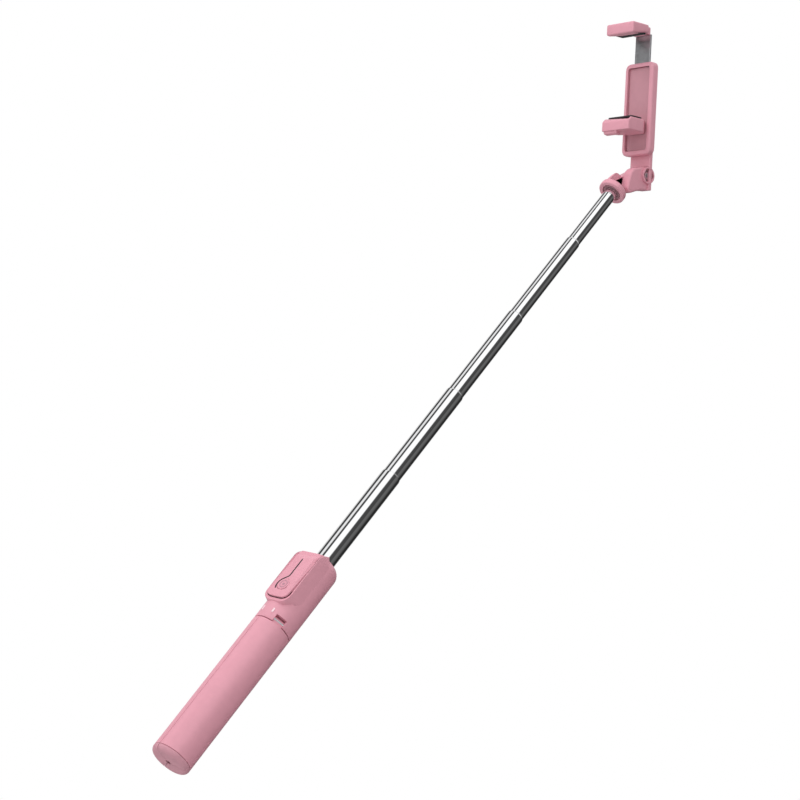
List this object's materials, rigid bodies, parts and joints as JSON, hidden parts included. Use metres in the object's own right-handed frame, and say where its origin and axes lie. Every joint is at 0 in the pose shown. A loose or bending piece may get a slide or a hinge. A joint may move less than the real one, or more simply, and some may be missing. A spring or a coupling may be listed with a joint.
{
  "type": "tripod selfie stick",
  "caption": "Telescopic selfie stick whose handle splits into tripod legs, with a docked remote and a tilting, sprung phone clamp.",
  "frame": {"origin": "on the pole axis, in the middle of the hand's grip, 100 mm above the bottom of the closed legs", "axes": "+Z along the pole towards the phone clamp, -Y towards the side with the remote and the phone's screen, +X to the right of it"},
  "size_m": [0.0331, 0.1214, 0.7601],
  "materials": {
    "body_plastic": "satin pink moulding",
    "button_plastic": "satin pink moulding with a ring",
    "chrome_tube": "bright chrome plate",
    "steel": "zinc plated steel",
    "bush_plastic": "black acetal",
    "foot_rubber": "soft greyish pink rubber",
    "grip_rubber": "ribbed black rubber",
    "circuit_board": "green solder mask"
  },
  "bodies": {
    "handle": {"upper_housing": "body_plastic", "guide_tube": "bush_plastic", "front_bar": "body_plastic", "hinge_pin_1": "steel", "hinge_pin_2": "steel", "hinge_pin_3": "steel"},
    "leg_1": {"leg_1": "body_plastic", "foot_pad_1": "foot_rubber"},
    "leg_2": {"leg_2": "body_plastic", "foot_pad_2": "foot_rubber"},
    "leg_3": {"leg_3": "body_plastic", "foot_pad_3": "foot_rubber"},
    "remote": {"remote_cover": "body_plastic", "remote_base": "body_plastic", "groove_strip": "bush_plastic", "remote_board": "circuit_board", "tact_switch": "steel", "coin_cell": "steel"},
    "button": {"shutter_button": "button_plastic"},
    "pole_1": {"tube_1": "chrome_tube", "slide_bush_1": "bush_plastic"},
    "pole_2": {"tube_2": "chrome_tube", "slide_bush_2": "bush_plastic"},
    "pole_3": {"tube_3": "chrome_tube", "slide_bush_3": "bush_plastic"},
    "pole_4": {"tube_4": "chrome_tube", "slide_bush_4": "bush_plastic"},
    "pole_5": {"tube_5": "chrome_tube", "slide_bush_5": "bush_plastic", "end_plug": "bush_plastic", "end_rivet": "steel", "swivel_clip": "bush_plastic"},
    "swivel": {"swivel_hub": "body_plastic"},
    "neck": {"neck_arm": "body_plastic", "hinge_screw": "steel", "hinge_nut": "steel", "turn_pivot": "steel"},
    "clamp": {"clamp_tray": "body_plastic", "clamp_cover": "body_plastic", "lower_jaw": "body_plastic", "lower_pad": "grip_rubber", "spring_anchor": "steel", "clamp_spring_left": "steel", "clamp_spring_right": "steel"},
    "upper_clamp": {"jaw_slider": "steel", "upper_jaw": "body_plastic", "upper_pad": "grip_rubber"}
  },
  "joints": [
    {"name": "leg_1_fold", "type": "hinge", "parent": "handle", "child": "leg_1", "pos_m": [0.01161, -0.0067, 0.0296], "axis": [-0.5, -0.866, 0], "range_deg": [0, 75]},
    {"name": "leg_2_fold", "type": "hinge", "parent": "handle", "child": "leg_2", "pos_m": [0, 0.0134, 0.0296], "axis": [1, 0, 0], "range_deg": [0, 75]},
    {"name": "leg_3_fold", "type": "hinge", "parent": "handle", "child": "leg_3", "pos_m": [-0.01161, -0.0067, 0.0296], "axis": [-0.5, 0.866, 0], "range_deg": [0, 75]},
    {"name": "remote_lift", "type": "slide", "parent": "handle", "child": "remote", "axis": [0.1392, -0.9903, 0], "range_m": [0, 0.012]},
    {"name": "shutter_press", "type": "slide", "parent": "remote", "child": "button", "axis": [-0.1392, 0.9903, 0], "range_m": [0, 0.0006], "stiffness_N_per_m": 600, "springref_m": -0.0004},
    {"name": "pole_1_slide", "type": "slide", "parent": "handle", "child": "pole_1", "axis": [0, 0, 1], "range_m": [-0.0875, 0]},
    {"name": "pole_2_slide", "type": "slide", "parent": "pole_1", "child": "pole_2", "axis": [0, 0, 1], "range_m": [-0.0875, 0]},
    {"name": "pole_3_slide", "type": "slide", "parent": "pole_2", "child": "pole_3", "axis": [0, 0, 1], "range_m": [-0.0875, 0]},
    {"name": "pole_4_slide", "type": "slide", "parent": "pole_3", "child": "pole_4", "axis": [0, 0, 1], "range_m": [-0.0875, 0]},
    {"name": "pole_5_slide", "type": "slide", "parent": "pole_4", "child": "pole_5", "axis": [0, 0, 1], "range_m": [-0.058, 0]},
    {"name": "head_swivel", "type": "hinge", "parent": "pole_5", "child": "swivel", "pos_m": [0, 0, 0.5343], "axis": [0, 0, 1], "continuous": true},
    {"name": "head_tilt", "type": "hinge", "parent": "swivel", "child": "neck", "pos_m": [0, 0.012, 0.569], "axis": [1, 0, 0], "range_deg": [-130, 30]},
    {"name": "clamp_turn", "type": "hinge", "parent": "neck", "child": "clamp", "pos_m": [0, -0.02432, 0.60896], "axis": [0, 0.7337, 0.6794], "range_deg": [-90, 90]},
    {"name": "jaw_slide", "type": "slide", "parent": "clamp", "child": "upper_clamp", "axis": [0, -0.6794, 0.7337], "range_m": [-0.015, 0.014], "deforming": ["clamp_spring_left", "clamp_spring_right"]}
  ]
}
